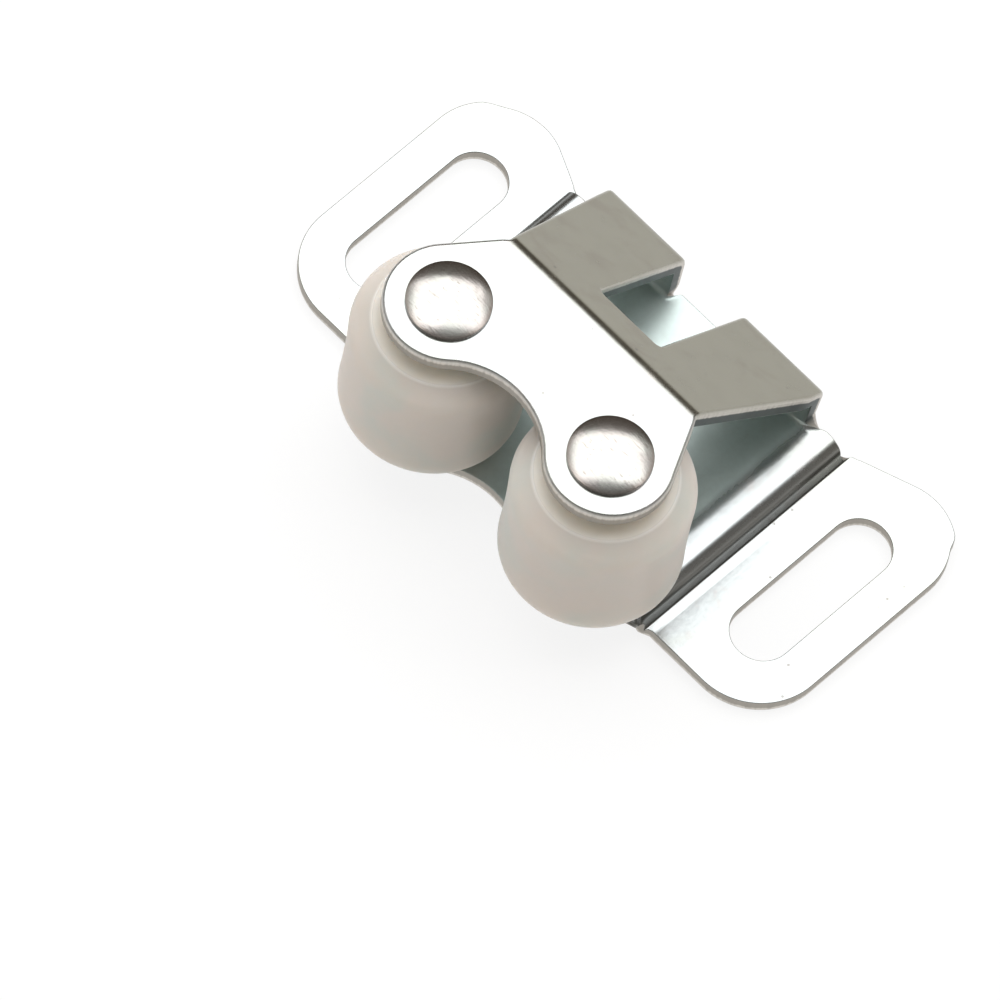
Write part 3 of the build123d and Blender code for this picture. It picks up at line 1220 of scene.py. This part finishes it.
# Pale floor, a softbox and a wider, dimmer tent overhead, and a quiet room
studio = {
    "floorSize": 12.0,
    "floorColour": colour(0.94, 0.94, 0.935),
    "floorFibre": colour(0.90, 0.90, 0.90),
    "plainShare": 0.85,
    "boxTurn": 45.6,
    "tentHeight": 0.50,
    "tentBack": 0.60,
    "tentFront": -0.10,
    "tentSides": (-1.4, 1.4),
    "tentBrightness": 0.80,
    "boxHeight": 0.47,
    "boxBack": 0.56,
    "boxFront": -0.06,
    "boxSides": (-0.32, 0.38),
    "boxBrightness": 2.25,
    "roomLow": (0.80, 0.79, 0.77),
    "roomMiddle": (0.145, 0.123, 0.103),
    "roomHigh": (0.30, 0.30, 0.30),
    "frontWall": colour(0.62, 0.60, 0.575),
}


def makeFloor(d):
    half = d["floorSize"] / 2
    mesh = bpy.data.meshes.new("paleFloor")
    corners = [(-half, -half, 0.0), (half, -half, 0.0), (half, half, 0.0), (-half, half, 0.0)]
    mesh.from_pydata(corners, [], [(0, 1, 2, 3)])
    floor = bpy.data.objects.new("paleFloor", mesh)
    scene.collection.objects.link(floor)
    material, desk = newMaterial("paleFloorPaper")
    place = objectPlace(desk)
    fibre = desk.noise(place, 0.02, 3.0, 0.5)
    tone = desk.blend(fibre * 0.05, d["floorColour"], d["floorFibre"])
    shader = desk.node(
        "ShaderNodeBsdfPrincipled",
        inputs={"Base Color": tone, "Roughness": 0.9, "Specular IOR Level": 0.1},
    )

    # seen by the camera or in the metal, the floor is partly plain white, and keeps a soft shadow
    rays = desk.node("ShaderNodeLightPath")
    outputs = rays.socket.node.outputs
    seen = rays + Wire(desk, outputs["Is Glossy Ray"]) + Wire(desk, outputs["Is Transmission Ray"])
    white = desk.node("ShaderNodeEmission", inputs={"Strength": 1.0})
    share = seen.maths("MINIMUM", 1.0) * d["plainShare"]
    mixed = desk.node("ShaderNodeMixShader", inputs={0: share, 1: shader, 2: white})
    desk.node("ShaderNodeOutputMaterial", inputs={"Surface": mixed})
    mesh.materials.append(material)


def makeSoftbox(name, turned, height, back, front, sides, brightness):
    # a flat lamp overhead, its long side across the picture; brightness is its radiance
    light = bpy.data.lights.new(name, "AREA")
    light.shape = "RECTANGLE"
    light.size = sides[1] - sides[0]
    light.size_y = back - front
    light.energy = brightness * math.pi * light.size * light.size_y
    lamp = bpy.data.objects.new(name, light)
    turn = math.radians(turned)
    across = Vector((math.cos(turn), math.sin(turn), 0.0)) * (sides[0] + sides[1]) / 2
    behind = Vector((-math.sin(turn), math.cos(turn), 0.0)) * (back + front) / 2
    lamp.location = across + behind + Vector((0.0, 0.0, height))
    lamp.rotation_euler = (0.0, 0.0, turn)
    scene.collection.objects.link(lamp)


def makeRoom(d):
    world = bpy.data.worlds.new("quietRoom")
    world.use_nodes = True
    world.node_tree.nodes.clear()
    desk = Desk(world.node_tree)
    place = desk.node("ShaderNodeTexCoord", output="Generated")
    across, along, height = desk.split(place)
    stops = [
        (0.0, d["roomLow"]),
        (0.50, d["roomLow"]),
        (0.545, d["roomMiddle"]),
        (0.80, d["roomMiddle"]),
        (1.0, d["roomHigh"]),
    ]
    tone = desk.node("ShaderNodeValToRGB", {"stops": stops}, [height * 0.5 + 0.5])

    # a pale wall in front, behind the camera, up to about forty degrees
    turn = math.radians(d["boxTurn"])
    ahead = across * math.sin(turn) - along * math.cos(turn)
    wall = desk.between(ahead, 0.2, 0.5) * (1 - desk.between(height, 0.55, 0.72))
    tone = desk.blend(wall, tone, d["frontWall"])
    backdrop = desk.node("ShaderNodeBackground", inputs={"Color": tone, "Strength": 1.0})
    desk.node("ShaderNodeOutputWorld", inputs={"Surface": backdrop})
    scene.world = world


makeFloor(studio)
for name, part in (("lightTent", "tent"), ("mainSoftbox", "box")):
    sizes = [studio[part + word] for word in ("Height", "Back", "Front", "Sides", "Brightness")]
    makeSoftbox(name, studio["boxTurn"], *sizes)
makeRoom(studio)
scene.view_settings.view_transform = "Standard"
print("Camera, floor and lights placed")
